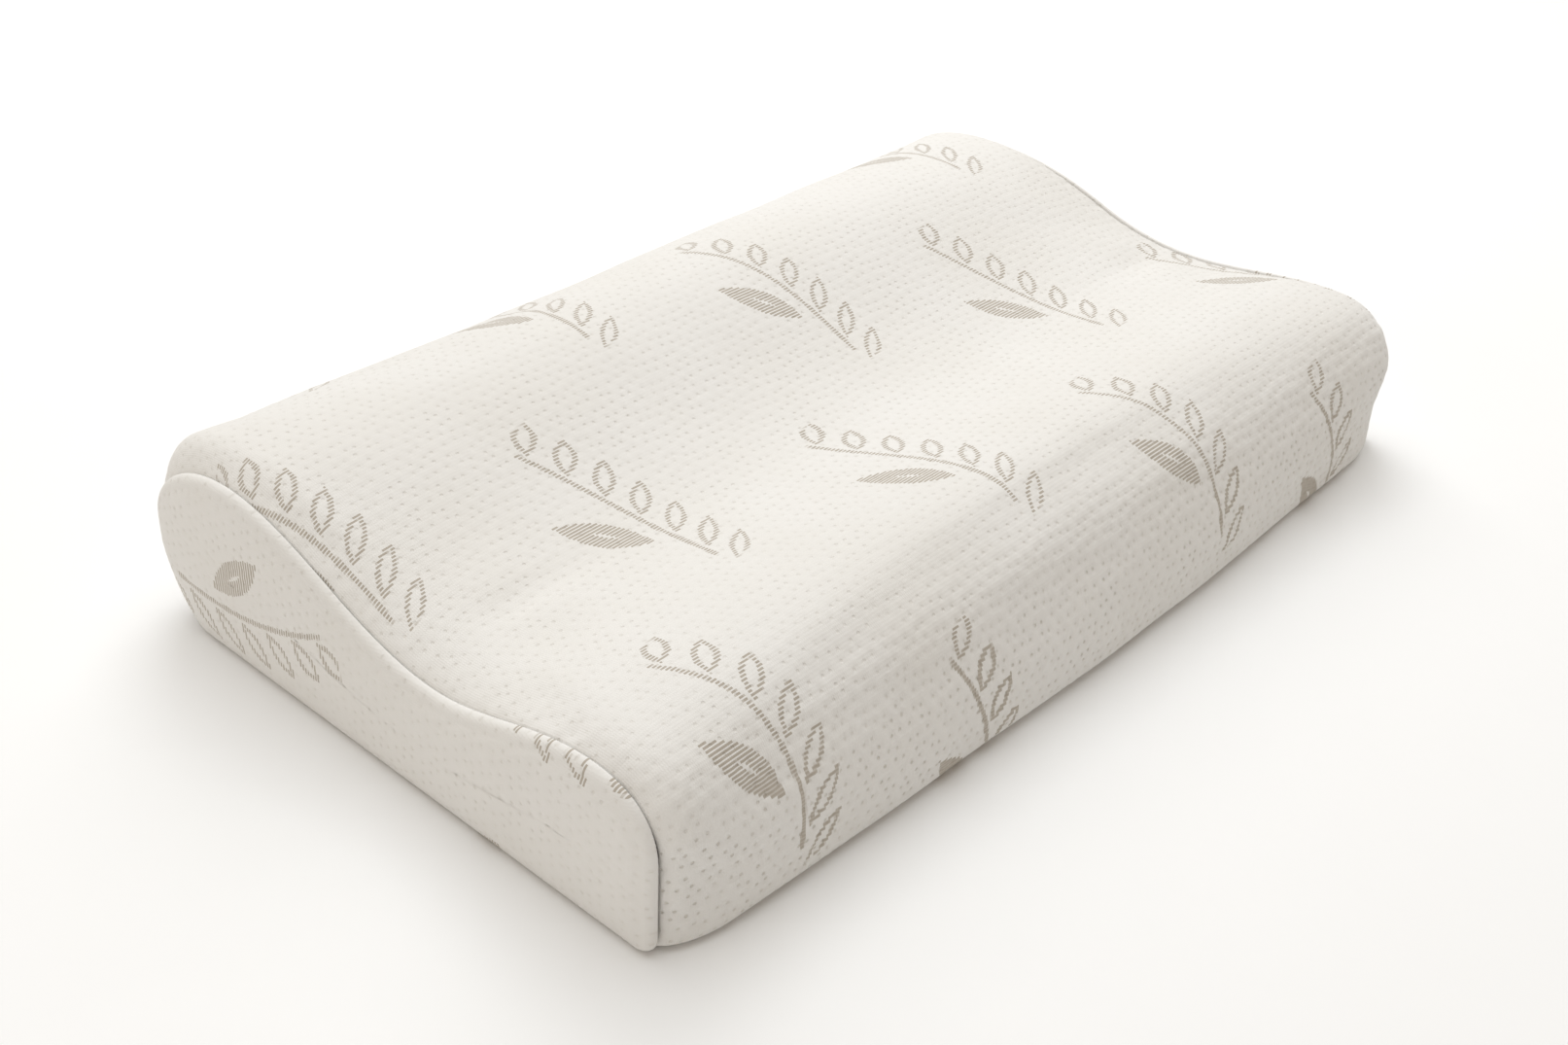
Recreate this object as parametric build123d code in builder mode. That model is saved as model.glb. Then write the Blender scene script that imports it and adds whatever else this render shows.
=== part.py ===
"""A contour bed pillow: a foam core in a thin liner, inside a zipped cover of thick dimpled knit.

X runs along the pillow, Y from the low front lobe to the high back lobe and Z up. The origin is
the centre of the underside. All sizes are in millimetres. Left is -X and right is +X.

An inset is a distance in from the cover's outer face, measured across the side outline, and a
gap is a distance in from the end of the pillow along X.
"""

from build123d import *
from collections import namedtuple
import os

os.makedirs("parts", exist_ok=True)

# The pillow's outer size and the wave of its side outline.
length = 600.0
depth = 358.0
low_crest_y = -130.0
low_crest_height = 90.0
dip_y = -30.0
dip_height = 76.0
rise_y = 32.0
rise_height = 88.0
high_crest_y = 107.0
high_crest_height = 107.5
front_flat_top = 48.0
front_toe_radius = 14.0
tightest_toe = 1.0
back_flat_top = 60.0
back_toe_radius = 38.0

# The cover is one knitted panel wrapped round the pillow, with a flat panel sewn in at each end.
knit = 2.8
pressed_knit = 1.4
cover_edge_radius = 10.0
cover_thread = 0.4

# The liner is a thin bag sewn the same way. It leaves room for the zip behind it.
liner_cloth = 0.8
liner_edge_radius = 8.0
liner_thread = 0.3
zip_room = 2.6

# The end seams of both bags.
seam_margin = 1.0
seam_allowance = 6.0
overlock_wrap = 3.0
layer_clearance = 0.2

# The foam core.
core_edge_radius = 8.0

# The zip in the back face of the cover.
zip_height = 49.0
slot_half_length = 265.0
slot_half_width = 5.0
tape_half_length = 272.0
tape_edge = 11.0
tape_thickness = 0.6
coil_gap = 0.65
coil_width = 1.6
coil_thickness = 1.8
slider_x = 245.0
slider_travel = 480.0
slider_length = 9.2
slider_width = 6.8
slider_plate = 1.2
slider_play = 0.4
slider_wall = 0.8
fin_width = 0.6
fin_length = 3.4
bail_length = 5.0
bail_width = 2.0
bail_wire = 0.9
bail_height = 2.4
crossbar_radius = 0.7
crossbar_lift = 1.9
pull_length = 22.0
pull_width = 5.6
pull_thickness = 1.2
pull_window_width = 3.0
pull_window_length = 4.7
corner_radius = 1.6
edge_rounding = 0.3
stop_length = 2.4
stop_clearance = 0.5
stitch_offset = 7.0
stitch_width = 0.9
stitch_thickness = 0.35
bartack_length = 13.0
bartack_width = 3.0
bartack_thickness = 0.6

# The blank care label, sewn into the rear seam of the right end and lying on the end panel.
label_length = 45.0
label_width = 25.0
label_thickness = 0.6
label_clearance = 0.2
label_seam_gap = 0.3

# Sizes that follow from those above.
front_y = -depth / 2
back_y = depth / 2
end_x = length / 2

Bag = namedtuple("Bag", "inset gap cloth pressed edge_radius seam thread back_room")

cover = Bag(
    inset=0,
    gap=0,
    cloth=knit,
    pressed=pressed_knit,
    edge_radius=cover_edge_radius,
    seam=cover_edge_radius + seam_margin,
    thread=cover_thread,
    back_room=0,
)
liner_inset = knit + layer_clearance
liner = Bag(
    inset=liner_inset,
    gap=knit + 2 * pressed_knit + cover_thread + layer_clearance,
    cloth=liner_cloth,
    pressed=liner_cloth,
    edge_radius=liner_edge_radius,
    seam=liner_inset + liner_edge_radius + seam_margin,
    thread=liner_thread,
    back_room=zip_room,
)
core_inset = liner.inset + liner_cloth + layer_clearance
core_gap = liner.gap + 3 * liner_cloth + liner_thread + layer_clearance

ends = ((-1, "left"), (1, "right"))
zip_sides = ((1, "upper"), (-1, "lower"))


def draw_outline(inset, back_room):
    """Draws the side outline in by an inset, with some extra room behind for the zip."""
    front = front_y + inset
    back = back_y - inset - back_room
    front_toe = max(front_toe_radius - inset, tightest_toe)
    toe_back_y = back_y - back_toe_radius
    low_top = (low_crest_y, low_crest_height - inset)
    high_top = (high_crest_y, high_crest_height - inset)

    Line((toe_back_y, inset), (front + front_toe, inset))
    CenterArc((front + front_toe, inset + front_toe), front_toe, 180, 90)
    Line((front, inset + front_toe), (front, front_flat_top))
    EllipticalCenterArc(
        (low_crest_y, front_flat_top),
        low_crest_y - front,
        low_crest_height - inset - front_flat_top,
        90,
        arc_size=90,
    )
    Spline(
        low_top,
        (dip_y, dip_height - inset),
        (rise_y, rise_height - inset),
        high_top,
        tangents=[(1, 0), (1, 0)],
    )
    EllipticalCenterArc(
        (high_crest_y, back_flat_top),
        back - high_crest_y,
        high_crest_height - inset - back_flat_top,
        0,
        arc_size=90,
    )
    Line((back, back_flat_top), (back, back_toe_radius))
    EllipticalCenterArc(
        (toe_back_y, back_toe_radius),
        back - toe_back_y,
        back_toe_radius - inset,
        270,
        arc_size=90,
    )


def pillow_block(inset, gap, edge_radius, back_room):
    """A solid pillow with rounded ends, in by an inset all round and by a gap at each end."""
    with BuildPart() as block:
        with BuildSketch(Plane.YZ):
            with BuildLine():
                draw_outline(inset, back_room)
            make_face()
        extrude(amount=end_x - gap, both=True)
        fillet(block.faces().filter_by(Axis.X).edges(), edge_radius)
    return block.part


def end_plate(side, inset, gap, thickness, back_room):
    """A plate of the side outline near one end, its outer face in by a gap."""
    with BuildPart() as plate:
        with BuildSketch(Plane.YZ.offset(side * (end_x - gap))):
            with BuildLine():
                draw_outline(inset, back_room)
            make_face()
        extrude(amount=-side * thickness)
    return plate.part


def end_ring(side, inset, width, gap, thickness, back_room):
    """A flat ring that follows the side outline near one end."""
    outer = end_plate(side, inset, gap, thickness, back_room)
    inner = end_plate(side, inset + width, gap, thickness, back_room)
    with BuildPart() as ring:
        add(outer)
        add(inner, mode=Mode.SUBTRACT)
    return ring.part


# Each bag is a skin of one cloth. At each end the wrapped panel and the end panel are sewn
# together, and both edges turn in and lie flat behind the end panel, the wrapped panel's inside.


def bag_wrap(bag):
    """The wrapped panel of a bag, with its edges turned in at both ends."""
    outside = pillow_block(bag.inset, bag.gap, bag.edge_radius, bag.back_room)
    inside = pillow_block(
        bag.inset + bag.cloth,
        bag.gap + bag.cloth,
        bag.edge_radius - bag.cloth,
        bag.back_room,
    )
    edge_inset = bag.seam - bag.pressed
    edge_width = bag.pressed + seam_allowance
    edge_gap = bag.gap + bag.cloth / 2
    edge_depth = bag.cloth / 2 + 2 * bag.pressed
    opening_gap = bag.gap - bag.cloth
    opening_depth = 2 * bag.cloth + bag.pressed
    turned_edges = [
        end_ring(side, edge_inset, edge_width, edge_gap, edge_depth, bag.back_room)
        for side, _ in ends
    ]
    openings = [
        end_plate(side, bag.seam, opening_gap, opening_depth, bag.back_room)
        for side, _ in ends
    ]
    with BuildPart() as wrap:
        add(outside)
        add(inside, mode=Mode.SUBTRACT)
        add(turned_edges)
        add(openings, mode=Mode.SUBTRACT)
    return wrap.part


def bag_end(bag, side):
    """The flat end panel of a bag, with the rim that turns in as its seam allowance."""
    panel = end_plate(side, bag.seam, bag.gap, bag.cloth + bag.pressed, bag.back_room)
    hollow = end_plate(
        side,
        bag.seam + seam_allowance,
        bag.gap + bag.cloth,
        bag.pressed,
        bag.back_room,
    )
    with BuildPart() as end:
        add(panel)
        add(hollow, mode=Mode.SUBTRACT)
    return end.part


def bag_overlock(bag, side):
    """The thread round the cut edges of both allowances, turned over their inner face."""
    cut_inset = bag.seam + seam_allowance
    cut_gap = bag.gap + bag.cloth
    cut_depth = 2 * bag.pressed
    edge = end_ring(side, cut_inset, bag.thread, cut_gap, cut_depth, bag.back_room)
    turn = end_ring(
        side,
        cut_inset - overlock_wrap,
        overlock_wrap + bag.thread,
        cut_gap + cut_depth,
        bag.thread,
        bag.back_room,
    )
    with BuildPart() as overlock:
        add(edge)
        add(turn)
    return overlock.part


# ---------------------------------------------------------------- foam core

core_block = pillow_block(core_inset, core_gap, core_edge_radius, zip_room)

with BuildPart() as foam_core:
    add(core_block)
foam_core.part.label = "foam_core"
export_step(foam_core.part, "parts/foam_core.step")

# ---------------------------------------------------------------- liner

liner_skin = bag_wrap(liner)

with BuildPart() as liner_sleeve:
    add(liner_skin)
liner_sleeve.part.label = "liner_sleeve"
export_step(liner_sleeve.part, "parts/liner_sleeve.step")

for side, end_name in ends:
    liner_panel = bag_end(liner, side)
    liner_seam_thread = bag_overlock(liner, side)

    with BuildPart() as liner_end:
        add(liner_panel)
    liner_end.part.label = f"liner_end_{end_name}"
    export_step(liner_end.part, f"parts/liner_end_{end_name}.step")

    with BuildPart() as liner_overlock:
        add(liner_seam_thread)
    liner_overlock.part.label = f"liner_overlock_{end_name}"
    export_step(liner_overlock.part, f"parts/liner_overlock_{end_name}.step")

# ---------------------------------------------------------------- cover

cover_skin = bag_wrap(cover)

# Sketches on the zip plane have their first axis up and their second along the pillow.
zip_plane = Plane(origin=(0, back_y, zip_height), x_dir=(0, 0, 1), z_dir=(0, 1, 0))

with BuildPart() as cover_wrap:
    add(cover_skin)
    with BuildSketch(zip_plane.offset(knit)):
        Rectangle(2 * slot_half_width, 2 * slot_half_length)
    extrude(amount=-3 * knit, mode=Mode.SUBTRACT)
cover_wrap.part.label = "cover_wrap"
export_step(cover_wrap.part, "parts/cover_wrap.step")

for side, end_name in ends:
    cover_panel = bag_end(cover, side)
    cover_seam_thread = bag_overlock(cover, side)

    with BuildPart() as cover_end:
        add(cover_panel)
    cover_end.part.label = f"cover_end_{end_name}"
    export_step(cover_end.part, f"parts/cover_end_{end_name}.step")

    with BuildPart() as cover_overlock:
        add(cover_seam_thread)
    cover_overlock.part.label = f"cover_overlock_{end_name}"
    export_step(cover_overlock.part, f"parts/cover_overlock_{end_name}.step")

# ---------------------------------------------------------------- zip tapes, coils and stitching

tape_face = zip_plane.offset(-knit)
tape_width = tape_edge - coil_gap
chain_start = slider_x - slider_travel - slider_length / 2 - stop_clearance
chain_end = slider_x + slider_length / 2 + stop_clearance
chain_length = chain_end - chain_start
chain_x = (chain_start + chain_end) / 2

for zip_side, side_name in zip_sides:
    with BuildPart() as zip_tape:
        with BuildSketch(tape_face):
            with Locations((zip_side * (coil_gap + tape_width / 2), 0)):
                Rectangle(tape_width, 2 * tape_half_length)
        extrude(amount=-tape_thickness)
    zip_tape.part.label = f"zip_tape_{side_name}"
    export_step(zip_tape.part, f"parts/zip_tape_{side_name}.step")

    with BuildPart() as zip_coil:
        with BuildSketch(tape_face):
            with Locations((zip_side * (coil_gap + coil_width / 2), chain_x)):
                Rectangle(coil_width, chain_length)
        extrude(amount=coil_thickness)
    zip_coil.part.label = f"zip_coil_{side_name}"
    export_step(zip_coil.part, f"parts/zip_coil_{side_name}.step")

    with BuildPart() as zip_topstitch:
        with BuildSketch(zip_plane):
            with Locations((zip_side * stitch_offset, 0)):
                Rectangle(stitch_width, 2 * slot_half_length)
        extrude(amount=stitch_thickness)
    zip_topstitch.part.label = f"zip_topstitch_{side_name}"
    export_step(zip_topstitch.part, f"parts/zip_topstitch_{side_name}.step")

# A metal top stop is clamped on each row, and one bottom stop joins both.
top_stop_x = chain_end + stop_length / 2
bottom_stop_x = chain_start - stop_length / 2

with BuildPart() as zip_top_stops:
    with BuildSketch(tape_face):
        for zip_side, _ in zip_sides:
            with Locations((zip_side * (coil_gap + coil_width / 2), top_stop_x)):
                Rectangle(coil_width, stop_length)
    extrude(amount=coil_thickness)
zip_top_stops.part.label = "zip_top_stops"
export_step(zip_top_stops.part, "parts/zip_top_stops.step")

with BuildPart() as zip_bottom_stop:
    with BuildSketch(tape_face):
        with Locations((0, bottom_stop_x)):
            Rectangle(2 * (coil_gap + coil_width), stop_length)
    extrude(amount=coil_thickness)
zip_bottom_stop.part.label = "zip_bottom_stop"
export_step(zip_bottom_stop.part, "parts/zip_bottom_stop.step")

with BuildPart() as zip_bartacks:
    with BuildSketch(zip_plane):
        for side, _ in ends:
            bartack_x = side * (slot_half_length + bartack_width / 2)
            with Locations((0, bartack_x)):
                Rectangle(bartack_length, bartack_width)
    extrude(amount=bartack_thickness)
zip_bartacks.part.label = "zip_bartacks"
export_step(zip_bartacks.part, "parts/zip_bartacks.step")

# ---------------------------------------------------------------- zip slider and pull

# The slider's two plates hold the chain between them, joined by the fin that parts the rows.
inner_plate_top = -knit - tape_thickness - slider_play
outer_plate_base = -knit + coil_thickness + slider_play
outer_plate_top = outer_plate_base + slider_plate
flange_base = -knit + slider_play
flange_offset = slider_width / 2 - slider_wall / 2

with BuildPart() as zip_slider:
    with BuildSketch(zip_plane.offset(outer_plate_base)):
        with Locations((0, slider_x)):
            RectangleRounded(slider_width, slider_length, corner_radius)
    extrude(amount=slider_plate)
    fillet(zip_slider.faces().sort_by(Axis.Y)[-1].edges(), edge_rounding)
    with BuildSketch(zip_plane.offset(inner_plate_top)):
        with Locations((0, slider_x)):
            RectangleRounded(slider_width, slider_length, corner_radius)
    extrude(amount=-slider_plate)
    with BuildSketch(zip_plane.offset(flange_base)):
        with Locations((-flange_offset, slider_x), (flange_offset, slider_x)):
            Rectangle(slider_wall, slider_length - 2 * corner_radius)
    extrude(amount=outer_plate_base - flange_base)
    with BuildSketch(zip_plane.offset(inner_plate_top)):
        with Locations((0, slider_x + (slider_length - fin_length) / 2)):
            Rectangle(fin_width, fin_length)
    extrude(amount=outer_plate_base - inner_plate_top)
    with BuildSketch(Plane.XY.offset(zip_height - bail_width / 2)):
        with Locations((slider_x, back_y + outer_plate_top + bail_height / 2)):
            RectangleRounded(bail_length, bail_height + 2 * bail_wire, bail_wire)
            Rectangle(bail_length - 2 * bail_wire, bail_height, mode=Mode.SUBTRACT)
    extrude(amount=bail_width)
zip_slider.part.label = "zip_slider"
export_step(zip_slider.part, "parts/zip_slider.step")

# The pull turns about its crossbar in the bail. It lies back over the closed chain.
pull_plane = zip_plane.offset(crossbar_lift - pull_thickness / 2)
pull_x = slider_x + crossbar_radius - pull_length / 2
window_x = slider_x - crossbar_radius - pull_window_length / 2

with BuildPart() as zip_pull:
    with BuildSketch(pull_plane):
        with Locations((0, pull_x)):
            RectangleRounded(pull_width, pull_length, corner_radius)
        with Locations((0, window_x)):
            Rectangle(pull_window_width, pull_window_length, mode=Mode.SUBTRACT)
    extrude(amount=pull_thickness)
    pull_faces = zip_pull.faces().sort_by(Axis.Y)
    fillet(pull_faces[0].edges() + pull_faces[-1].edges(), edge_rounding)
zip_pull.part.label = "zip_pull"
export_step(zip_pull.part, "parts/zip_pull.step")

# ---------------------------------------------------------------- care label

label_seam_y = back_y - cover.seam
label_y = label_seam_y - label_seam_gap - label_length / 2

with BuildPart() as care_label:
    with BuildSketch(Plane.YZ.offset(end_x + label_clearance)):
        with Locations((label_y, zip_height)):
            Rectangle(label_length, label_width)
    extrude(amount=label_thickness)
care_label.part.label = "care_label"
export_step(care_label.part, "parts/care_label.step")
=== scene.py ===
"""Looks for a contour bed pillow: a dimpled knit cover, sewn and zipped, over a liner and a foam core.

Everything is worked out in millimetres and turned into metres as each mesh is made. X runs along the
pillow, Y from the low front lobe to the high back lobe and Z up. Left is -X.
"""

import math

import bpy
import numpy as np
from mathutils import Matrix, Vector


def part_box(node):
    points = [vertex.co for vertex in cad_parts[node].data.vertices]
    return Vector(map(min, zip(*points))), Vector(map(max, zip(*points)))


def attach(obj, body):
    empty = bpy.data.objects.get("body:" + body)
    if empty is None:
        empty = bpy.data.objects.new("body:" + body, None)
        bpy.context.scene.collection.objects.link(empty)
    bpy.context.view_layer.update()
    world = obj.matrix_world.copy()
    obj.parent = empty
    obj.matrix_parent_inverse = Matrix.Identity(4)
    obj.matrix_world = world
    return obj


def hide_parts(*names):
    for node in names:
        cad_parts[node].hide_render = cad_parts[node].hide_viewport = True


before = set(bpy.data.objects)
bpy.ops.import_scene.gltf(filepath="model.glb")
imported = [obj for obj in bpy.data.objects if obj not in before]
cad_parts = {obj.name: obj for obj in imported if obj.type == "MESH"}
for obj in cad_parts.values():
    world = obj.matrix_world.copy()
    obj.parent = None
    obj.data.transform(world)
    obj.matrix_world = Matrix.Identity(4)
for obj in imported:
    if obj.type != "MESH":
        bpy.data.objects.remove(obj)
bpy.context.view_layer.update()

MM = 0.001
SIDES = ((-1, "left"), (1, "right"))


def box_mm(node):
    """The lowest and highest corner of a CAD node, in millimetres."""
    low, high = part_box(node)
    return np.array(low) / MM, np.array(high) / MM


wrap_low, wrap_high = box_mm("cover_wrap")
tack_low, tack_high = box_mm("zip_bartacks")
label_low, label_high = box_mm("care_label")
END_X, BACK_Y, HIGH_TOP = wrap_high
FRONT_Y = wrap_low[1]
ZIP_Z = (tack_low[2] + tack_high[2]) / 2
SLOT_HALF_WIDTH = 5.0
SLOT_OPEN_X = box_mm("zip_topstitch_upper")[1][0] - 3
SLOT_SHUT_X = tack_high[0]
FULL_TURN = 2 * math.pi

# ---- sums, for arrays and for shader nodes


class Wire:
    """A number carried between shader nodes. It takes the same arithmetic as an array."""

    def __init__(self, socket):
        self.socket = socket

    def node(self, operation, *values):
        made = self.socket.id_data.nodes.new("ShaderNodeMath")
        made.operation = operation
        for socket, value in zip(made.inputs, values):
            join(value, socket)
        return Wire(made.outputs[0])

    __add__ = __radd__ = lambda self, other: self.node("ADD", self, other)
    __mul__ = __rmul__ = lambda self, other: self.node("MULTIPLY", self, other)
    __sub__ = lambda self, other: self.node("SUBTRACT", self, other)
    __rsub__ = lambda self, other: self.node("SUBTRACT", other, self)
    __truediv__ = lambda self, other: self.node("DIVIDE", self, other)


def join(value, socket):
    """Puts a wire, another node's output or a plain value into a socket."""
    value = value.socket if isinstance(value, Wire) else value
    if isinstance(value, bpy.types.NodeSocket):
        socket.id_data.links.new(value, socket)
    else:
        socket.default_value = value


def either(operation, plain):
    """A function that adds a math node for wires and is plain numpy for arrays."""

    def worked_out(*values):
        first = values[0]
        return first.node(operation, *values) if isinstance(first, Wire) else plain(*values)

    return worked_out


sine = either("SINE", np.sin)
size = either("ABSOLUTE", np.abs)
root = either("SQRT", np.sqrt)
whole = either("FLOOR", np.floor)
lesser = either("MINIMUM", np.minimum)
greater = either("MAXIMUM", np.maximum)


def rounded(value):
    """The nearest whole number, rounding halves up."""
    return whole(value + 0.5)


def smooth(value, low, high):
    """0 at low and 1 at high, with a smooth step between. low may be the larger."""
    t = lesser(greater((value - low) / (high - low), 0.0), 1.0)
    return t * t * (3.0 - 2.0 * t)


def ripple(value, period):
    """A sine with its period in millimetres."""
    return sine(value * (FULL_TURN / period))


# ---- the cloth's pattern

PIT_PITCH = 6.8
PIT_ROW = 5.9
PIT_DRIFT = (1.1, 1.0)
WALE = 1.1
COURSE = 1.8
SPRIG_STEPS = ((128.0, -75.0), (-65.0, -160.0))
SPRIG_CENTRE = (-169.0, 246.0)
SPRIG_TILT = math.radians(11)
STEM_BEND = 380.0
# A leaf's half length, half width and angle to the stem.
SMALL_LEAF = (13.5, 5.6, math.radians(52))
LARGE_LEAF = (25.0, 8.5, math.radians(-28))
LEAF_PITCH = 21.0


def pit_distance(u, v):
    """How far a point of the cloth is from the nearest dimple. The dimples are in uneven, staggered rows."""
    nearest = None
    for half in (0.0, 0.5):
        column = rounded(u / PIT_PITCH - half)
        row = rounded(v / (2 * PIT_ROW) - half)
        drift_u = PIT_DRIFT[0] * sine(column * 2.4 + row * 4.7 + 9 * half)
        drift_v = PIT_DRIFT[1] * sine(column * 5.3 + row * 1.9 + 4 * half)
        du = u - (column + half) * PIT_PITCH - drift_u
        dv = v - (row + half) * (2 * PIT_ROW) - drift_v
        distance = root(du * du + dv * dv)
        nearest = distance if nearest is None else lesser(nearest, distance)
    return nearest


def leaf(along, across, half_length, half_width, angle):
    """How far inside a pointed leaf a point is, from half_width at its rib to 0 at its edge."""
    lengthwise = along * math.cos(angle) + across * math.sin(angle)
    sideways = across * math.cos(angle) - along * math.sin(angle)
    share = lengthwise / half_length
    return half_width - size(sideways) - half_width * (share * share)


def sprig(u, v):
    """1 on the lines of a leaf sprig, repeated over the cloth, and 0 elsewhere. Its edges follow the knit."""
    u = rounded(u / WALE) * WALE - SPRIG_CENTRE[0]
    v = rounded(v / COURSE) * COURSE - SPRIG_CENTRE[1]
    (ax, ay), (bx, by) = SPRIG_STEPS
    area = ax * by - ay * bx
    p = (u * by - v * bx) / area
    q = (v * ax - u * ay) / area
    p = p - rounded(p)
    q = q - rounded(q)
    u = p * ax + q * bx
    v = p * ay + q * by
    along = v * math.cos(SPRIG_TILT) - u * math.sin(SPRIG_TILT)
    across = u * math.cos(SPRIG_TILT) + v * math.sin(SPRIG_TILT)
    beside = across - 7.0 + along * along / STEM_BEND
    stem = smooth(size(beside), 1.7, 1.1) * smooth(size(along), 60.0, 58.0)
    place = along - rounded(along / LEAF_PITCH) * LEAF_PITCH
    small = leaf(place, beside - SMALL_LEAF[0], *SMALL_LEAF)
    small_line = smooth(small, 0.0, 0.3) * smooth(small, 3.0, 2.6) * smooth(size(along), 70.0, 68.0)
    large = leaf(along + 4.0, beside + 21.0, *LARGE_LEAF)
    large_fill = smooth(large, 0.0, 0.3) * smooth(large, 7.9, 7.5)
    return greater(greater(stem, small_line), large_fill)


# ---- the pillow's surface

# The side outline, in the middle of the pillow and along the end seam. A crest is (y, z, slope).
# The end seam lies well below the surface in the hollow, and runs straight down to the base.
MAIN = dict(
    front=FRONT_Y,
    back=BACK_Y,
    base=0.0,
    front_toe=(9.0, 9.0),
    crown_z=48.0,
    front_power=2.5,
    crests=((-130, 90, 0), (-30, 76, 0), (32, 88, 0.33), (107, HIGH_TOP, 0)),
    back_side=(38.0, 60.0),
    toe_y=141.0,
    toe_power=2.0,
    back_power=2.6,
)
SEAM = dict(
    front=FRONT_Y + 10,
    back=BACK_Y - 10.5,
    base=1.5,
    front_toe=(8.5, 8.0),
    crown_z=45.0,
    front_power=2.5,
    crests=((-130, 80, 0), (-33, 60.2, 0), (32, 75.5, 0.42), (107, 96.2, 0)),
    back_side=(44.0, 56.0),
    toe_y=139.0,
    toe_power=1.5,
    back_power=2.0,
)
# The right end is filled a little more in its hollow than the left.
SEAM_RIGHT = dict(SEAM, crests=((-130, 84, 0), (-30, 73, 0), (32, 84, 0.36), (107, 99, 0)))
SIDE_CELLS = 7
BACK_TOE_CELLS = 34
BASE_CELLS = 60
FRONT_TOE_CELLS = 18
FRONT_SIDE_CELLS = 18
FRONT_CROWN_CELLS = 44
WAVE_CELLS = (64, 40, 48)
BACK_CROWN_CELLS = 58
EASED_CELLS = 6
GROOVE_X = END_X - 6.2
ROUNDING_ROWS = 18
MIDDLE_ROWS = 322
ROUNDING_ANGLE = math.radians(74)


def line(start, end, cells):
    """Points from start towards end, without the last."""
    share = np.linspace(0, 1, cells, endpoint=False)[:, None]
    return np.array(start, float) + share * (np.array(end, float) - np.array(start, float))


def corner(centre, start, end, cells, power):
    """A quarter of a superellipse about a centre, from start round to end, without the last."""
    turn = np.linspace(0, math.pi / 2, cells, endpoint=False)
    centre, start, end = (np.array(p, float) for p in (centre, start, end))
    from_start = np.cos(turn) ** (2 / power)
    from_end = np.sin(turn) ** (2 / power)
    return centre + np.outer(from_start, start - centre) + np.outer(from_end, end - centre)


def wave(crests, cells):
    """Smooth cubic spans through the crests, each with its own slope, without the last point."""
    spans = []
    for (y0, z0, slope0), (y1, z1, slope1), count in zip(crests, crests[1:], cells):
        t = np.linspace(0, 1, count, endpoint=False)
        width = y1 - y0
        z = (
            (2 * t**3 - 3 * t**2 + 1) * z0
            + (t**3 - 2 * t**2 + t) * width * slope0
            + (3 * t**2 - 2 * t**3) * z1
            + (t**3 - t**2) * width * slope1
        )
        spans.append(np.stack([y0 + t * width, z], axis=1))
    return np.concatenate(spans)


def outline(
    front, back, base, front_toe, crown_z, front_power, crests, back_side, toe_y, toe_power, back_power
):
    """The side outline as (y, z) points: from the zip down, under, up the front and back over the top."""
    side_low, side_high = back_side
    front_y, toe_z = front + front_toe[0], base + front_toe[1]
    (low_y, low_z, _), (high_y, high_z, _) = crests[0], crests[-1]
    pieces = [
        line((back, ZIP_Z), (back, side_low), SIDE_CELLS),
        corner((toe_y, side_low), (back, side_low), (toe_y, base), BACK_TOE_CELLS, toe_power),
        line((toe_y, base), (front_y, base), BASE_CELLS),
        corner((front_y, toe_z), (front_y, base), (front, toe_z), FRONT_TOE_CELLS, 2.0),
        line((front, toe_z), (front, crown_z), FRONT_SIDE_CELLS),
        corner((low_y, crown_z), (front, crown_z), (low_y, low_z), FRONT_CROWN_CELLS, front_power),
        wave(crests, WAVE_CELLS),
        corner((high_y, side_high), (high_y, high_z), (back, side_high), BACK_CROWN_CELLS, back_power),
        line((back, side_high), (back, ZIP_Z), SIDE_CELLS),
        [(back, ZIP_Z)],
    ]
    return np.concatenate(pieces)


def unit(vectors):
    """Vectors brought to a length of 1."""
    return vectors / np.maximum(np.linalg.norm(vectors, axis=-1, keepdims=True), 1e-9)


def inward_of(tangent):
    """Unit directions into an outline, square to its tangents."""
    y, z = unit(tangent).T
    return np.stack([z, -y], axis=1)


def inset(points, amount):
    """An outline moved inwards by an amount."""
    inward = inward_of(np.gradient(points, axis=0))
    inward[0] = inward[-1] = (-1, 0)
    return points + inward * amount


def softened(values):
    """Values evened out a little along their first axis. The first and last stay."""
    values = values.copy()
    values[1:-1] = (values[:-2] + 2 * values[1:-1] + values[2:]) / 4
    return values


def eased(points):
    """An outline with its sharpest corner, where the base meets the back, rounded a little."""
    points = points.copy()
    near = slice(SIDE_CELLS + BACK_TOE_CELLS - EASED_CELLS, SIDE_CELLS + BACK_TOE_CELLS + EASED_CELLS)
    for _ in range(EASED_CELLS):
        points[near] = softened(points)[near]
    return points


def run_along(points):
    """How far along a line of points each of them is."""
    return np.concatenate([[0], np.cumsum(np.linalg.norm(np.diff(points, axis=0), axis=1))])


MAIN_LINE = outline(**MAIN)
SEAM_LINES = {"left": eased(outline(**SEAM)), "right": eased(outline(**SEAM_RIGHT))}
COLUMNS = len(MAIN_LINE)
ALONG = run_along(MAIN_LINE)
ALONG -= ALONG[SIDE_CELLS + BACK_TOE_CELLS + BASE_CELLS]

# How far in and how far sideways the turned-in edges step, row by row.
ALLOWANCE = ((1.5, 0.3), (3.0, 1.2), (4.6, 2.0))
CLOTH_GAP = 1.0
SEAM_GROOVE = 0.9
FRONT_GROOVE = 1.5
CROWN_RISE = 5.0
ROLL_TURNS = np.linspace(math.radians(102), 0, 8)
ROLL_DEPTH = 5.2
ROLL_RISE = 0.9
ROUNDING = 17
MORE_ROUNDING = 16
FRONT_BOW = 7.5
HIGH_CROWN = 2.0


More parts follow.
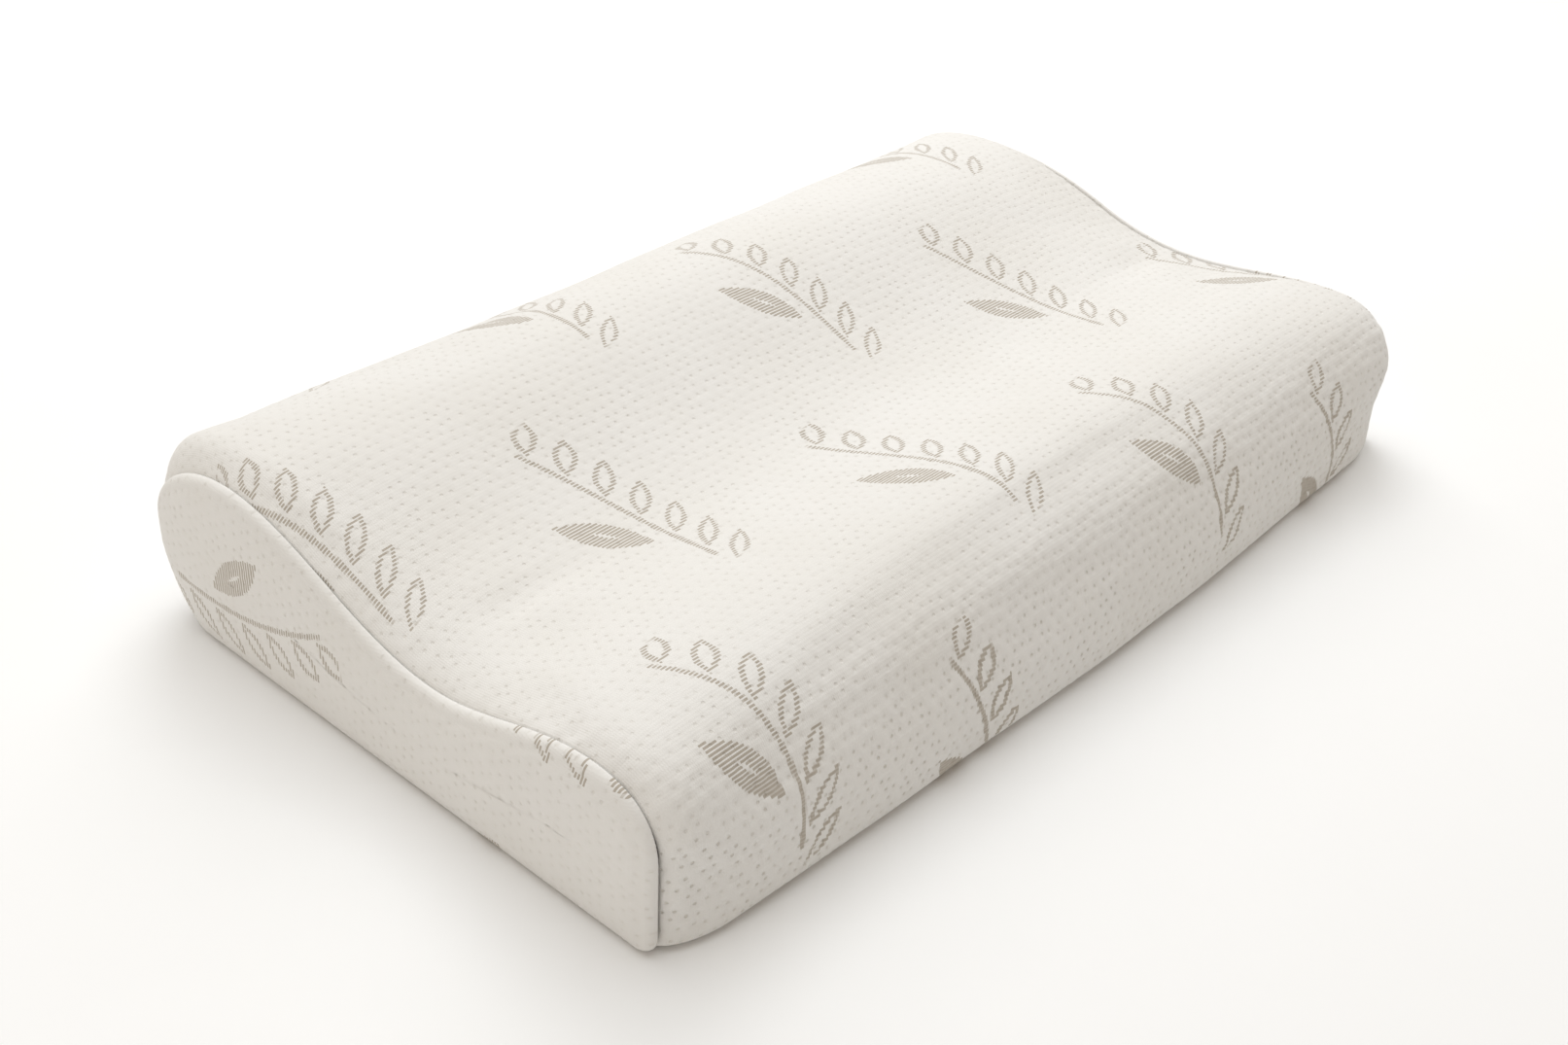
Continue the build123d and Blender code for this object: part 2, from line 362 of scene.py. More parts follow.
def rounding_length(points):
    """How far in from the seam the top begins to fall: further in the hollow and at the front foot."""
    y, z = points.T
    hollow = np.exp(-(((y + 50) / 75) ** 2)) * smooth(z, 50, 70)
    front_foot = (1 - smooth(y, -178, -150)) * (1 - smooth(z, 25, 70))
    return ROUNDING + MORE_ROUNDING * hollow + MORE_ROUNDING * front_foot


def pillow_grid(gap, seam_gap, groove_x, rounding_rows, middle_rows):
    """The wrapped surface as a grid of points: rows along X, columns round the outline.

    gap moves it in from the cover all round, and seam_gap does the same at its ends, at groove_x.
    """
    main = inset(MAIN_LINE, gap)
    length = rounding_length(main)
    middle = []
    for place in np.linspace(-1, 1, middle_rows + 1):
        x = place * (groove_x - length)
        middle.append(np.column_stack([x, swell(main, x)]))
    ends = []
    for side, word in SIDES:
        seam = inset(SEAM_LINES[word], seam_gap)
        shares = np.linspace(1, 0, rounding_rows, endpoint=False)
        ends.append([end_row(side, share, main, seam, groove_x, length) for share in shares])
    return np.array(ends[0] + middle + ends[1][::-1])


def swell(points, x):
    """The outline at x, bowed out along the front foot and crowned along the high lobe."""
    y, z = points.T
    inward = 1 - (x / END_X) ** 2
    bow = FRONT_BOW * inward * (1 - smooth(z, 10, 75)) * (1 - smooth(y, -175, -120))
    return points + np.column_stack([-bow, HIGH_CROWN * inward * smooth(z, 80, 105)])


def groove(seam):
    """How much further in the seam lies down the front corners, where it is drawn into a valley."""
    y, z = seam.T
    return FRONT_GROOVE * (1 - smooth(y, -168, -150)) * smooth(z, 3, 12) * (1 - smooth(z, 50, 70))


def end_row(side, share, main, seam, groove_x, length):
    """A row of the rounded end. share is 1 at the seam and 0 where the rounding begins."""
    angle = share * ROUNDING_ANGLE
    fall = (1 - math.cos(angle)) / (1 - math.cos(ROUNDING_ANGLE))
    reach = math.sin(angle) / math.sin(ROUNDING_ANGLE)
    x = side * (groove_x - groove(seam) * share - length * (1 - reach))
    points = swell(main, x)
    points += fall * (seam - points)
    return np.column_stack([x, points])


def normals(grid):
    """Unit normals of a grid of points, facing away from the pillow."""
    return unit(np.cross(np.gradient(grid, axis=0), np.gradient(grid, axis=1)))


def end_rings(seam, face_x, groove_x, rings, crown):
    """One end panel as rings, from its turned-in edge to a slit along its middle. x grows outwards."""
    loop = seam[:-1]
    roll = face_x - groove_x - SEAM_GROOVE - CLOTH_GAP
    rows = [ring(loop, depth, groove_x - step_in + CLOTH_GAP) for depth, step_in in ALLOWANCE[::-1]]
    for turn in ROLL_TURNS:
        depth = ROLL_DEPTH * (1 - math.sin(turn)) - ROLL_RISE
        rows.append(ring(loop, depth, face_x - roll + roll * math.cos(turn)))
    return np.array(rows + to_spine(rows[-1], rings, crown))


def to_spine(edge, rings, crown):
    """Rings from an edge ring in to a narrow slit along the middle of an end. crown lifts the middle."""
    middle_y = np.clip(edge[:, 1], -128, 112)
    low_z, high_z = edge_heights(edge, middle_y)
    spine = np.column_stack([edge[:, 0], middle_y, (low_z + high_z) / 2])
    rows = []
    for share in np.linspace(0, 0.99, rings)[1:]:
        points = edge + share * (spine - edge)
        points[:, 0] += crown * (1 - np.exp(-room(edge, points) / CROWN_RISE))
        rows.append(points)
    return rows


def room(edge, points):
    """How far points of an end are from its border, eased so that it has no sharp ridges."""
    y, z = points[:, 1], points[:, 2]
    low_z, high_z = edge_heights(edge, y)
    gaps = (y - edge[:, 1].min(), edge[:, 1].max() - y, z - low_z, high_z - z)
    return 1 / sum(1 / np.maximum(gap, 0.01) for gap in gaps)


def ring(loop, depth, x):
    """A closed ring of an end panel, moved in from the seam by a depth."""
    inward = inward_of(np.roll(loop, -1, axis=0) - np.roll(loop, 1, axis=0))
    return np.column_stack([np.full(len(loop), x), loop + depth * inward])


def edge_heights(edge, y):
    """The lowest and highest z of a ring at each y."""
    heights = []
    for part in (edge[edge[:, 2] < 30], edge[edge[:, 2] >= 45]):
        part = part[np.argsort(part[:, 1])]
        heights.append(np.interp(y, part[:, 1], part[:, 2]))
    return heights


# ---- creases, dimples and the blown cloth

# The pace along u and along v, the phase and the height in millimetres of each slow wave.
RIPPLES = (
    (0.021, 0.013, 0.4, 0.45),
    (-0.011, 0.034, 1.9, 0.35),
    (0.047, -0.022, 3.1, 0.22),
    (0.083, 0.061, 0.7, 0.12),
)
PIT_DEPTH = 0.32
PIT_RADIUS = 1.9
PUCKER_DEPTH = 0.45
PUCKER_REACH = 11
COARSE_STEP = 5
RING_STEP = 3
BLOW_FRAMES = 20
BLOW_PRESSURE = 4.0
MOST_MOVE = 4.0
BASE_HEIGHT = 1.5


def unevenness(u, v):
    """The slow rise and fall of a hand-filled cover, in millimetres."""
    height = 0.0
    for along_u, along_v, phase, amount in RIPPLES:
        height = height + amount * np.sin(along_u * u + along_v * v + phase)
    return height


def dimples(u, v):
    """How far the cloth is drawn in at its dimples, as a negative height."""
    return -PIT_DEPTH * np.exp(-((pit_distance(u, v) / PIT_RADIUS) ** 2))


def puckers(distance, along):
    """The small gathers that a seam draws into the cloth beside it."""
    beat = np.sin(along * 0.61 + 1.3 * np.sin(along * 0.113)) + 0.6 * np.sin(along * 0.37 + 2.0)
    return PUCKER_DEPTH * 0.5 * beat * np.exp(-((distance / PUCKER_REACH) ** 2)) * smooth(distance, 0.2, 4)


def cloth_coordinates(grid):
    """Where each point of the wrap lies on the flat cloth: u from the middle row, v round the outline."""
    middle = len(grid) // 2
    steps = np.linalg.norm(np.diff(grid, axis=0), axis=2)
    u = np.zeros(grid.shape[:2])
    u[middle + 1 :] = np.cumsum(steps[middle:], axis=0)
    u[:middle] = -np.cumsum(steps[:middle][::-1], axis=0)[::-1]
    return u, np.broadcast_to(ALONG, u.shape)


def coarse(count, step):
    """Every step-th index of count, always with the last."""
    return np.array([*range(0, count - 1, step), count - 1])


def blown(wrap, ends):
    """Blows the closed cover up a little with Blender's cloth, and returns how far each point moves.

    wrap is the wrap's grid and ends are the two end panels' rings from the seam inwards. The seams, the
    zip and the base are held.
    """
    rows, columns = coarse(len(wrap), COARSE_STEP), coarse(COLUMNS, COARSE_STEP)
    loop = columns[:-1]
    points = wrap[np.ix_(rows, loop)]
    count, width = points.shape[:2]
    vertices = points.reshape(-1, 3)
    faces = band_faces(count, width, True)
    for edge_row, rings in zip((0, count - 1), ends):
        picked = rings[coarse(len(rings), RING_STEP)][:, loop]
        start = len(vertices)
        vertices = np.concatenate([vertices, picked.reshape(-1, 3)])
        right = edge_row > 0
        edge = range(edge_row * width, (edge_row + 1) * width)
        faces += ring_faces(edge, range(start, start + width), right)
        faces += band_faces(len(picked), width, right, start)
        faces.append(cap(len(vertices) - width, width, right))
    mesh = bpy.data.meshes.new("blow")
    mesh.from_pydata((vertices * MM).tolist(), [], faces)
    cover = add_object("blow", mesh)
    held = points[:, :, 2] < BASE_HEIGHT
    held[[0, -1]] = True
    held[:, 0] = True
    cover.vertex_groups.new(name="held").add(np.flatnonzero(held.ravel()).tolist(), 1.0, "REPLACE")
    cloth = cover.modifiers.new("Cloth", "CLOTH")
    settings = cloth.settings
    settings.vertex_group_mass = "held"
    settings.use_pressure = True
    settings.uniform_pressure_force = BLOW_PRESSURE
    settings.tension_stiffness = settings.compression_stiffness = 40
    settings.shear_stiffness = 12
    settings.bending_stiffness = 1.5
    settings.mass = 0.25
    settings.effector_weights.gravity = 0
    cloth.collision_settings.use_collision = False
    cloth.point_cache.frame_start = 1
    cloth.point_cache.frame_end = BLOW_FRAMES
    scene = bpy.context.scene
    for at in range(1, BLOW_FRAMES + 1):
        scene.frame_set(at)
    shown = cover.evaluated_get(bpy.context.evaluated_depsgraph_get()).to_mesh()
    moved = np.zeros(len(vertices) * 3)
    shown.vertices.foreach_get("co", moved)
    scene.frame_set(1)
    bpy.data.objects.remove(cover)
    bpy.data.meshes.remove(mesh)
    move = moved.reshape(-1, 3) / MM - vertices
    far = np.linalg.norm(move, axis=1, keepdims=True)
    move *= np.tanh(far / MOST_MOVE) * MOST_MOVE / np.maximum(far, 1e-6)
    move = move[: count * width].reshape(count, width, 3)
    return spread(np.concatenate([move, move[:, :1]], axis=1), rows, columns, len(wrap), COLUMNS)


def row_places(rounding_rows, middle_rows):
    """Where the rows of a pillow_grid lie, from 0 at the left seam to 3 at the right."""
    left = np.linspace(0, 1, rounding_rows, endpoint=False)
    return np.concatenate([left, np.linspace(1, 2, middle_rows + 1), 3 - left[::-1]])


def followed(slow, rounding_rows, middle_rows):
    """The wrap's slow movement at the rows of a grid further in, so that the layers move together."""
    here, there = row_places(ROUNDING_ROWS, MIDDLE_ROWS), row_places(rounding_rows, middle_rows)
    below = np.clip(np.searchsorted(here, there) - 1, 0, len(here) - 2)
    part = (there - here[below]) / (here[below + 1] - here[below])
    return slow[below] + part[:, None, None] * (slow[below + 1] - slow[below])


def spread(values, rows, columns, all_rows, all_columns):
    """Values known at some rows and columns, filled in smoothly at all of them."""
    full = np.empty((all_rows, all_columns, 3))
    for axis in range(3):
        wide = [np.interp(np.arange(all_columns), columns, row) for row in values[:, :, axis]]
        tall = [np.interp(np.arange(all_rows), rows, column) for column in np.transpose(wide)]
        full[:, :, axis] = np.transpose(tall)
    for _ in range(3):
        full = softened(softened(full).swapaxes(0, 1)).swapaxes(0, 1)
    return full


# ---- mesh making

BLOCK_CUTS = 9
BLOCK_POWER = 5.0


def grid_faces(rows, columns, start=0):
    """Quads over a grid of points, facing the side that normals() gives."""
    corners = [start + r * columns + c for r in range(rows - 1) for c in range(columns - 1)]
    return [(i, i + columns, i + columns + 1, i + 1) for i in corners]


def ring_faces(previous, current, flip):
    """Quads between two closed rings of vertex numbers."""
    faces = zip(previous, [*previous[1:], previous[0]], [*current[1:], current[0]], current)
    return [face[::-1] if flip else face for face in faces]


def band_faces(count, width, flip, start=0, closed=False):
    """Quads between count rings of width points, numbered from start."""
    faces = []
    for r in range(count if closed else count - 1):
        here, there = start + r * width, start + (r + 1) % count * width
        faces += ring_faces(range(here, here + width), range(there, there + width), flip)
    return faces


def rim_faces(outer, inner, keep, flip):
    """Faces from a run of outer points to the fewer inner points, which lie under those in keep."""
    faces = []
    for k in range(len(keep) - 1):
        run = [int(i) for i in outer[keep[k] : keep[k + 1] + 1]]
        near, far = int(inner[k]), int(inner[k + 1])
        faces.append(run + [far, near] if flip else run[::-1] + [near, far])
    return faces


def cap(start, width, flip):
    """One face over a ring of width points, numbered from start."""
    face = list(range(start, start + width))
    return face[::-1] if flip else face


def listed(*grids):
    """Grids of points or of pairs as one plain list."""
    return np.concatenate([grid.reshape(-1, grid.shape[-1]) for grid in grids])


def add_object(name, data):
    """A new object in the scene."""
    made = bpy.data.objects.new(name, data)
    bpy.context.scene.collection.objects.link(made)
    return made


def make_piece(name, vertices, faces, material, uv=None):
    """A smooth-shaded mesh piece. vertices are in millimetres and uv is one pair for each vertex."""
    mesh = bpy.data.meshes.new(name)
    mesh.from_pydata((np.asarray(vertices) * MM).tolist(), [], faces)
    mesh.shade_smooth()
    if uv is not None:
        layer = mesh.uv_layers.new(name="cloth")
        corners = np.zeros(len(mesh.loops), np.int32)
        mesh.loops.foreach_get("vertex_index", corners)
        layer.data.foreach_set("uv", (uv * MM)[corners].ravel())
    mesh.materials.append(material)
    return add_object(name, mesh)


def shell(name, grid, thickness, material, uv, step=4):
    """A sheet of cloth from its outer side: a coarser inner side a thickness in, joined round the border."""
    rows, columns = grid.shape[:2]
    keep_rows, keep_columns = coarse(rows, step), coarse(columns, step)
    picked = np.ix_(keep_rows, keep_columns)
    inner = (grid - thickness * normals(grid))[picked]
    height, width = inner.shape[:2]
    start = rows * columns
    over = np.arange(start).reshape(rows, columns)
    under = start + np.arange(height * width).reshape(height, width)
    faces = grid_faces(rows, columns) + [face[::-1] for face in grid_faces(height, width, start)]
    for at, flip in ((0, True), (-1, False)):
        faces += rim_faces(over[at], under[at], keep_columns, flip)
        faces += rim_faces(over[:, at], under[:, at], keep_rows, not flip)
    return make_piece(name, listed(grid, inner), faces, material, listed(uv, uv[picked]))


def panel(name, rings, side, thickness, material, uv, step=3):
    """An end panel from its rings, thickened inwards. side is -1 on the left and 1 on the right."""
    count, width = rings.shape[:2]
    keep, loop = coarse(count, step), np.arange(0, width, step)
    picked = np.ix_(keep, loop)
    padded = np.concatenate([rings[:, -1:], rings, rings[:, :1]], axis=1)
    inner = (rings - thickness * side * normals(padded)[:, 1:-1])[picked]
    start, small, flip = count * width, len(loop), side > 0
    faces = band_faces(count, width, flip) + band_faces(len(keep), small, not flip, start)
    faces.append(cap(start - width, width, flip))
    faces.append(cap(start + (len(keep) - 1) * small, small, not flip))
    faces += rim_faces([*range(width), 0], [*range(start, start + small), start], [*loop, width], flip)
    return make_piece(name, listed(rings, inner), faces, material, listed(uv, uv[picked]))


def tube(path, radius, sides=6, closed=False):
    """Vertices and faces of a thread along a path."""
    path = np.asarray(path, float)
    tangent = np.roll(path, -1, axis=0) - np.roll(path, 1, axis=0) if closed else np.gradient(path, axis=0)
    tangent = unit(tangent)
    one = np.cross(tangent, (0.0, 0.0, 1.0))
    weak = np.linalg.norm(one, axis=1) < 0.15
    one[weak] = np.cross(tangent[weak], (0.0, 1.0, 0.0))
    one = unit(one)
    two = np.cross(one, tangent)
    turn = np.linspace(0, FULL_TURN, sides, endpoint=False)[None, :, None]
    radius = np.reshape(radius * np.ones(len(path)), (-1, 1, 1))
    vertices = listed(path[:, None] + radius * (one[:, None] * np.cos(turn) + two[:, None] * np.sin(turn)))
    faces = band_faces(len(path), sides, True, closed=closed)
    if not closed:
        faces += [cap(0, sides, False), cap(len(vertices) - sides, sides, True)]
    return vertices, faces


def threads(name, parts, material):
    """One piece from several tubes or blocks."""
    vertices, faces = [], []
    start = 0
    for some_vertices, some_faces in parts:
        vertices.append(some_vertices)
        faces += [[start + i for i in face] for face in some_faces]
        start += len(some_vertices)
    return make_piece(name, np.concatenate(vertices), faces, material)


def soft_block(low, high):
    """Vertices and faces of a small block with soft, rounded faces and edges."""
    low, high = np.array(low, float), np.array(high, float)
    place = np.linspace(-1, 1, BLOCK_CUTS)
    numbers, faces = {}, []
    for axis in range(3):
        for sign in (-1, 1):
            for i in range(BLOCK_CUTS - 1):
                for j in range(BLOCK_CUTS - 1):
                    corners = ((i, j), (i + 1, j), (i + 1, j + 1), (i, j + 1))
                    points = [tuple(np.roll((sign, place[a], place[b]), axis)) for a, b in corners]
                    face = [numbers.setdefault(point, len(numbers)) for point in points]
                    faces.append(face[::sign])
    points = np.array(list(numbers))
    reach = (np.abs(points) ** BLOCK_POWER).sum(axis=1, keepdims=True) ** (1 / BLOCK_POWER)
    return (high + low) / 2 + points / reach * ((high - low) / 2), faces


# ---- materials


class Look:
    """A material being made. Its periods and heights are in millimetres."""

    def __init__(self, name, colour, roughness, sheen=0.0, metallic=0.0):
        self.material = bpy.data.materials.new(name)
        self.material.use_nodes = True
        self.tree = self.material.node_tree
        self.shader = self.tree.nodes["Principled BSDF"]
        values = {"Roughness": roughness, "Metallic": metallic, "Sheen Weight": sheen, "Sheen Roughness": 0.5}
        for word, value in values.items():
            self.shader.inputs[word].default_value = value
        self.shader.inputs["Base Color"].default_value = (*colour, 1)

    def add(self, kind, **inputs):
        """A new node, with its inputs set or linked."""
        made = self.tree.nodes.new("ShaderNode" + kind)
        for word, value in inputs.items():
            join(value, made.inputs[word])
        return made

    def here(self):
        """The place on the piece, in metres."""
        return self.add("TexCoord").outputs["Object"]

    def split(self, vector, axes):
        """A vector's parts as wires, in millimetres."""
        parts = self.add("SeparateXYZ", Vector=vector)
        return [Wire(parts.outputs[axis]) * 1000.0 for axis in axes]

    def cloth_point(self):
        """Where a point lies on the flat cloth."""
        source = self.add("UVMap")
        source.uv_map = "cloth"
        return self.split(source.outputs["UV"], "XY")

    def noise(self, period, detail=2.0, stretch=(1.0, 1.0, 1.0)):
        """Smooth noise from 0 to 1 over the piece."""
        here = self.here()
        scale = self.add("VectorMath")
        scale.operation = "MULTIPLY"
        join(here, scale.inputs[0])
        join([1000.0 / period / part for part in stretch], scale.inputs[1])
        made = self.add("TexNoise", Vector=scale.outputs[0], Scale=1.0, Detail=detail)
        return Wire(made.outputs["Fac"])

    def cells(self, period):
        """Distance to the nearest cell centre, from 0, for pores."""
        made = self.add("TexVoronoi", Vector=self.here(), Scale=1000.0 / period)
        return Wire(made.outputs["Distance"])

    def blend(self, share, one, other):
        """A colour between two. Each may be plain or come from a node."""
        made = self.add("Mix")
        made.data_type = "RGBA"
        for value, at in ((share, 0), (one, 6), (other, 7)):
            join((*value, 1) if isinstance(value, tuple) else value, made.inputs[at])
        return made.outputs[2]

    def done(self, colour, height=None):
        """The material, with its colour and the bump of a height."""
        join(colour, self.shader.inputs["Base Color"])
        if height is not None:
            bump = self.add("Bump", Strength=1.0, Distance=MM, Height=height)
            join(bump.outputs["Normal"], self.shader.inputs["Normal"])
        return self.material


KNIT_LIGHT = (0.858, 0.852, 0.836)
KNIT_DEEP = (0.815, 0.80, 0.765)
# Painted shade: the colour the dimples are darkened towards, standing in for the shade in them.
PAINTED_PIT_SHADE = (0.66, 0.625, 0.56)
MARK_YARN = (0.44, 0.39, 0.325)


def cover_knit():
    """A cream double knit with dimples, fine wales, and a leaf sprig in a darker yarn. Its dimples carry
    painted shade, deeper on the front face.
    """
    look = Look("cover_knit", KNIT_LIGHT, 0.88, sheen=0.12)
    u, v = look.cloth_point()
    distance = pit_distance(u, v)
    strength = 0.45 + smooth(look.noise(26), 0.35, 0.65) * 0.55
    front = smooth(v, 80, 58) * smooth(v, -4, 4)
    pit = smooth(distance, 1.15, 0.3) * strength * (0.8 + 0.5 * front)
    bowl = smooth(distance, 3.6, 0.4)
    across = u / WALE - rounded(u / WALE)
    wale = ripple(u, WALE)
    stitch = ripple(v + size(across) * WALE, COURSE)
    course = v / COURSE - rounded(v / COURSE)
    hatch = greater(smooth(size(course), 0.36, 0.25), front * 0.8)
    mark = sprig(u, v) * hatch
    fluff = look.noise(1.6, 3.0)
    cloudy = smooth(look.noise(85, 3.0), 0.3, 0.7)
    yarn = look.blend(cloudy * 0.45 + fluff * 0.35, KNIT_LIGHT, KNIT_DEEP)
    # Painted shade: the dimples and the bowls round them are painted darker, more on the front face, which
    # lies in shade.
    pits_with_painted_shade = look.blend(pit * (0.38 + 0.2 * front) + bowl * 0.05, yarn, PAINTED_PIT_SHADE)
    marked = look.blend(mark * (0.8 + 0.2 * fluff), pits_with_painted_shade, MARK_YARN)
    height = fluff * 0.06 + wale * 0.022 + stitch * 0.02 - pit * 0.34
    height = height - bowl * (0.08 + 0.22 * front) - mark * 0.05
    return look.done(marked, height + look.noise(5.0) * 0.2)


def liner_cloth():
    """A thin, smooth tricot with a fine mesh of holes."""
    look = Look("liner_cloth", (0.8, 0.79, 0.76), 0.8, sheen=0.1)
    u, v = look.cloth_point()
    hole = ripple(u, 1.5) * ripple(v, 1.7)
    rib = ripple(u, 0.75)
    # Painted shade: the holes are painted darker, standing in for the shade in them; the noise adds a random
    # tone.
    painted_hole_shade_and_tone = smooth(hole, 0.3, 0.9) * 0.5 + look.noise(60) * 0.2
    colour = look.blend(painted_hole_shade_and_tone, (0.83, 0.82, 0.79), (0.6, 0.59, 0.55))
    return look.done(colour, rib * 0.03 - smooth(hole, 0.3, 0.9) * 0.12)


def foam():
    """Moulded open-cell foam: cream, matt and full of small pores."""
    look = Look("foam", (0.84, 0.78, 0.62), 0.95)
    pore = smooth(look.cells(1.5), 0.42, 0.12)
    large = smooth(look.cells(9.0), 0.14, 0.06)
    tone = look.noise(110, 3.0)
    skin = look.blend(tone, (0.86, 0.80, 0.64), (0.80, 0.72, 0.52))
    # Painted shade: the pores and the larger holes are painted darker, standing in for the shade inside them.
    colour = look.blend(pore * 0.55 + large * 0.3, skin, (0.55, 0.46, 0.29))
    return look.done(colour, look.noise(3.0, 3.0) * 0.15 - pore * 0.3 - large * 0.6)


def thread(name, colour, deep):
    """Spun sewing thread: light bands of twist and a little fuzz."""
    look = Look(name, colour, 0.6, sheen=0.2)
    x, y, z = look.split(look.here(), "XYZ")
    twist = ripple(x + y * 0.7 + z * 1.3, 0.55)
    fuzz = look.noise(0.6)
    colour = look.blend(smooth(twist, -0.9, 0.4) * 0.8 + fuzz * 0.2, deep, colour)
    return look.done(colour, twist * 0.04 + fuzz * 0.03)


def zip_tape():
    """Woven tape: a herringbone twill with a firm woven edge."""
    look = Look("zip_tape", (0.80, 0.78, 0.73), 0.72, sheen=0.15)
    u, v = look.cloth_point()
    rib = v / 2.4 - rounded(v / 2.4)
    twill = ripple(u + size(rib) * 3.6, 1.1)
    weft = ripple(u, 0.45)
    dark = smooth(twill, -0.2, -0.9)
    tone = dark * 0.7 + look.noise(30) * 0.25
    colour = look.blend(tone, (0.81, 0.79, 0.74), (0.60, 0.57, 0.50))
    return look.done(colour, twill * 0.06 + weft * 0.02)


def coil_plastic():
    """Smooth polyester monofilament, slightly see-through."""
    look = Look("zip_coil", (0.80, 0.78, 0.73), 0.34)
    look.shader.inputs["Subsurface Weight"].default_value = 0.15
    look.shader.inputs["Subsurface Scale"].default_value = 0.0005
    tone = look.noise(7.0)
    colour = look.blend(tone, (0.84, 0.82, 0.77), (0.72, 0.69, 0.63))
    join(0.26 + look.noise(1.2) * 0.2, look.shader.inputs["Roughness"])
    return look.done(colour, tone * 0.03)


def zip_metal():
    """Nickel plate with a fine cast grain, lighter along its sharp edges."""
    look = Look("zip_metal", (0.62, 0.61, 0.585), 0.3, metallic=1.0)
    geometry = look.add("NewGeometry")
    edge = smooth(Wire(geometry.outputs["Pointiness"]), 0.51, 0.56)
    brushed = look.noise(0.5, 3.0, stretch=(8.0, 1.0, 1.0))
    dull = smooth(look.noise(6.0, 3.0), 0.4, 0.7)
    body = look.blend(dull * 0.6, (0.66, 0.65, 0.62), (0.47, 0.455, 0.42))
    colour = look.blend(edge, body, (0.80, 0.79, 0.77))
    join(0.22 + dull * 0.18 + brushed * 0.12, look.shader.inputs["Roughness"])
    return look.done(colour, brushed * 0.02 + look.noise(1.5) * 0.03)


def satin():
    """Label satin: long bright floats with a fine cross thread, and no print."""
    look = Look("satin", (0.88, 0.875, 0.86), 0.42, sheen=0.3)
    u, v = look.cloth_point()
    floats = ripple(v, 0.5)
    ties = smooth(sine(u * (FULL_TURN / 1.6) + rounded(v / 0.5) * 2.5), 0.85, 1.0)
    tone = ties * 0.5 + look.noise(12) * 0.3
    colour = look.blend(tone, (0.90, 0.895, 0.88), (0.76, 0.75, 0.72))
    return look.done(colour, floats * 0.03 - ties * 0.03)


COVER = cover_knit()
LINER = liner_cloth()
FOAM = foam()
OVERLOCK = thread("overlock_thread", (0.82, 0.80, 0.755), (0.62, 0.59, 0.53))
TAPE = zip_tape()
COIL = coil_plastic()
STITCH = thread("topstitch_thread", (0.80, 0.775, 0.72), (0.58, 0.54, 0.46))
METAL = zip_metal()
SATIN = satin()

# ---- the cover

CLOTH = 1.3
HEM_RADIUS = 1.2
HEM_FLAP = 8.0
HEM_STEP = 1.4
LOWEST = 0.2
PITS_ON_TOP = 0.6
PITS_ON_FRONT = 1.9
FRONT_RELIEF = 0.55
END_UNEVENNESS = 0.7
EDGE_RINGS = len(ALLOWANCE)
OVERLOCK_PITCH = 2.6
OVERLOCK_THREAD = 0.22
OVERLOCK_DEPTH = 3.6
OVERLOCK_HALF = (1.25, 1.3)
RINGS = 24
END_CROWN = 3.2
END_SPRIG = (SPRIG_CENTRE[0] + 42.0, SPRIG_CENTRE[1] + 93.0)


def with_allowance(grid, gap, groove_x):
    """Adds the rows that turn in at each end seam. gap is how far the seams are inside the cover's."""
    for depth, step_in in ALLOWANCE:
        rows = []
        for side, word in SIDES:
            x = side * (groove_x - step_in - groove(SEAM_LINES[word]))
            rows.append(np.column_stack([x, inset(SEAM_LINES[word], gap + depth)]))
        grid = np.concatenate([rows[:1], grid, rows[1:]])
    return grid


def with_slot(grid, u, v):
    """Opens the grid at the zip and adds a folded hem along both sides of the opening."""
    grid = grid.copy()
    x = np.abs(grid[:, 0, 0])
    half = SLOT_HALF_WIDTH * (1 - smooth(x, SLOT_OPEN_X, SLOT_SHUT_X)) + HEM_RADIUS
    for c in range(SIDE_CELLS + 1):
        pull = half * (1 - c / SIDE_CELLS)
        grid[:, c, 2] -= pull
        grid[:, -1 - c, 2] += pull
    turns = np.radians(np.linspace(30, 180, 6))
    places = [(HEM_RADIUS * (1 - math.cos(t)), HEM_RADIUS * math.sin(t)) for t in turns]
    places += [(2 * HEM_RADIUS, -HEM_FLAP / 2), (2 * HEM_RADIUS, -HEM_FLAP)]
    below = [grid[:, 0] - (0, depth, -rise) for depth, rise in places[::-1]]
    above = [grid[:, -1] - (0, depth, rise) for depth, rise in places]
    grid = np.concatenate([np.stack(below, axis=1), grid, np.stack(above, axis=1)], axis=1)
    extra = len(places)
    steps = np.arange(1, extra + 1) * HEM_STEP
    u = np.pad(u, ((0, 0), (extra, extra)), "edge")
    v = np.concatenate([v[:, :1] - steps[::-1], v, v[:, -1:] + steps], axis=1)
    return grid, np.stack([u, v], axis=2)


def off_roll(rings):
    """0 on the rolled edge of an end panel and 1 further in, ring by ring."""
    return smooth(np.arange(len(rings)), EDGE_RINGS + 3, EDGE_RINGS + 9)[:, None]


ends = {}
for side, word in SIDES:
    ends[word] = end_rings(SEAM_LINES[word], END_X, GROOVE_X, RINGS, END_CROWN) * (side, 1, 1)

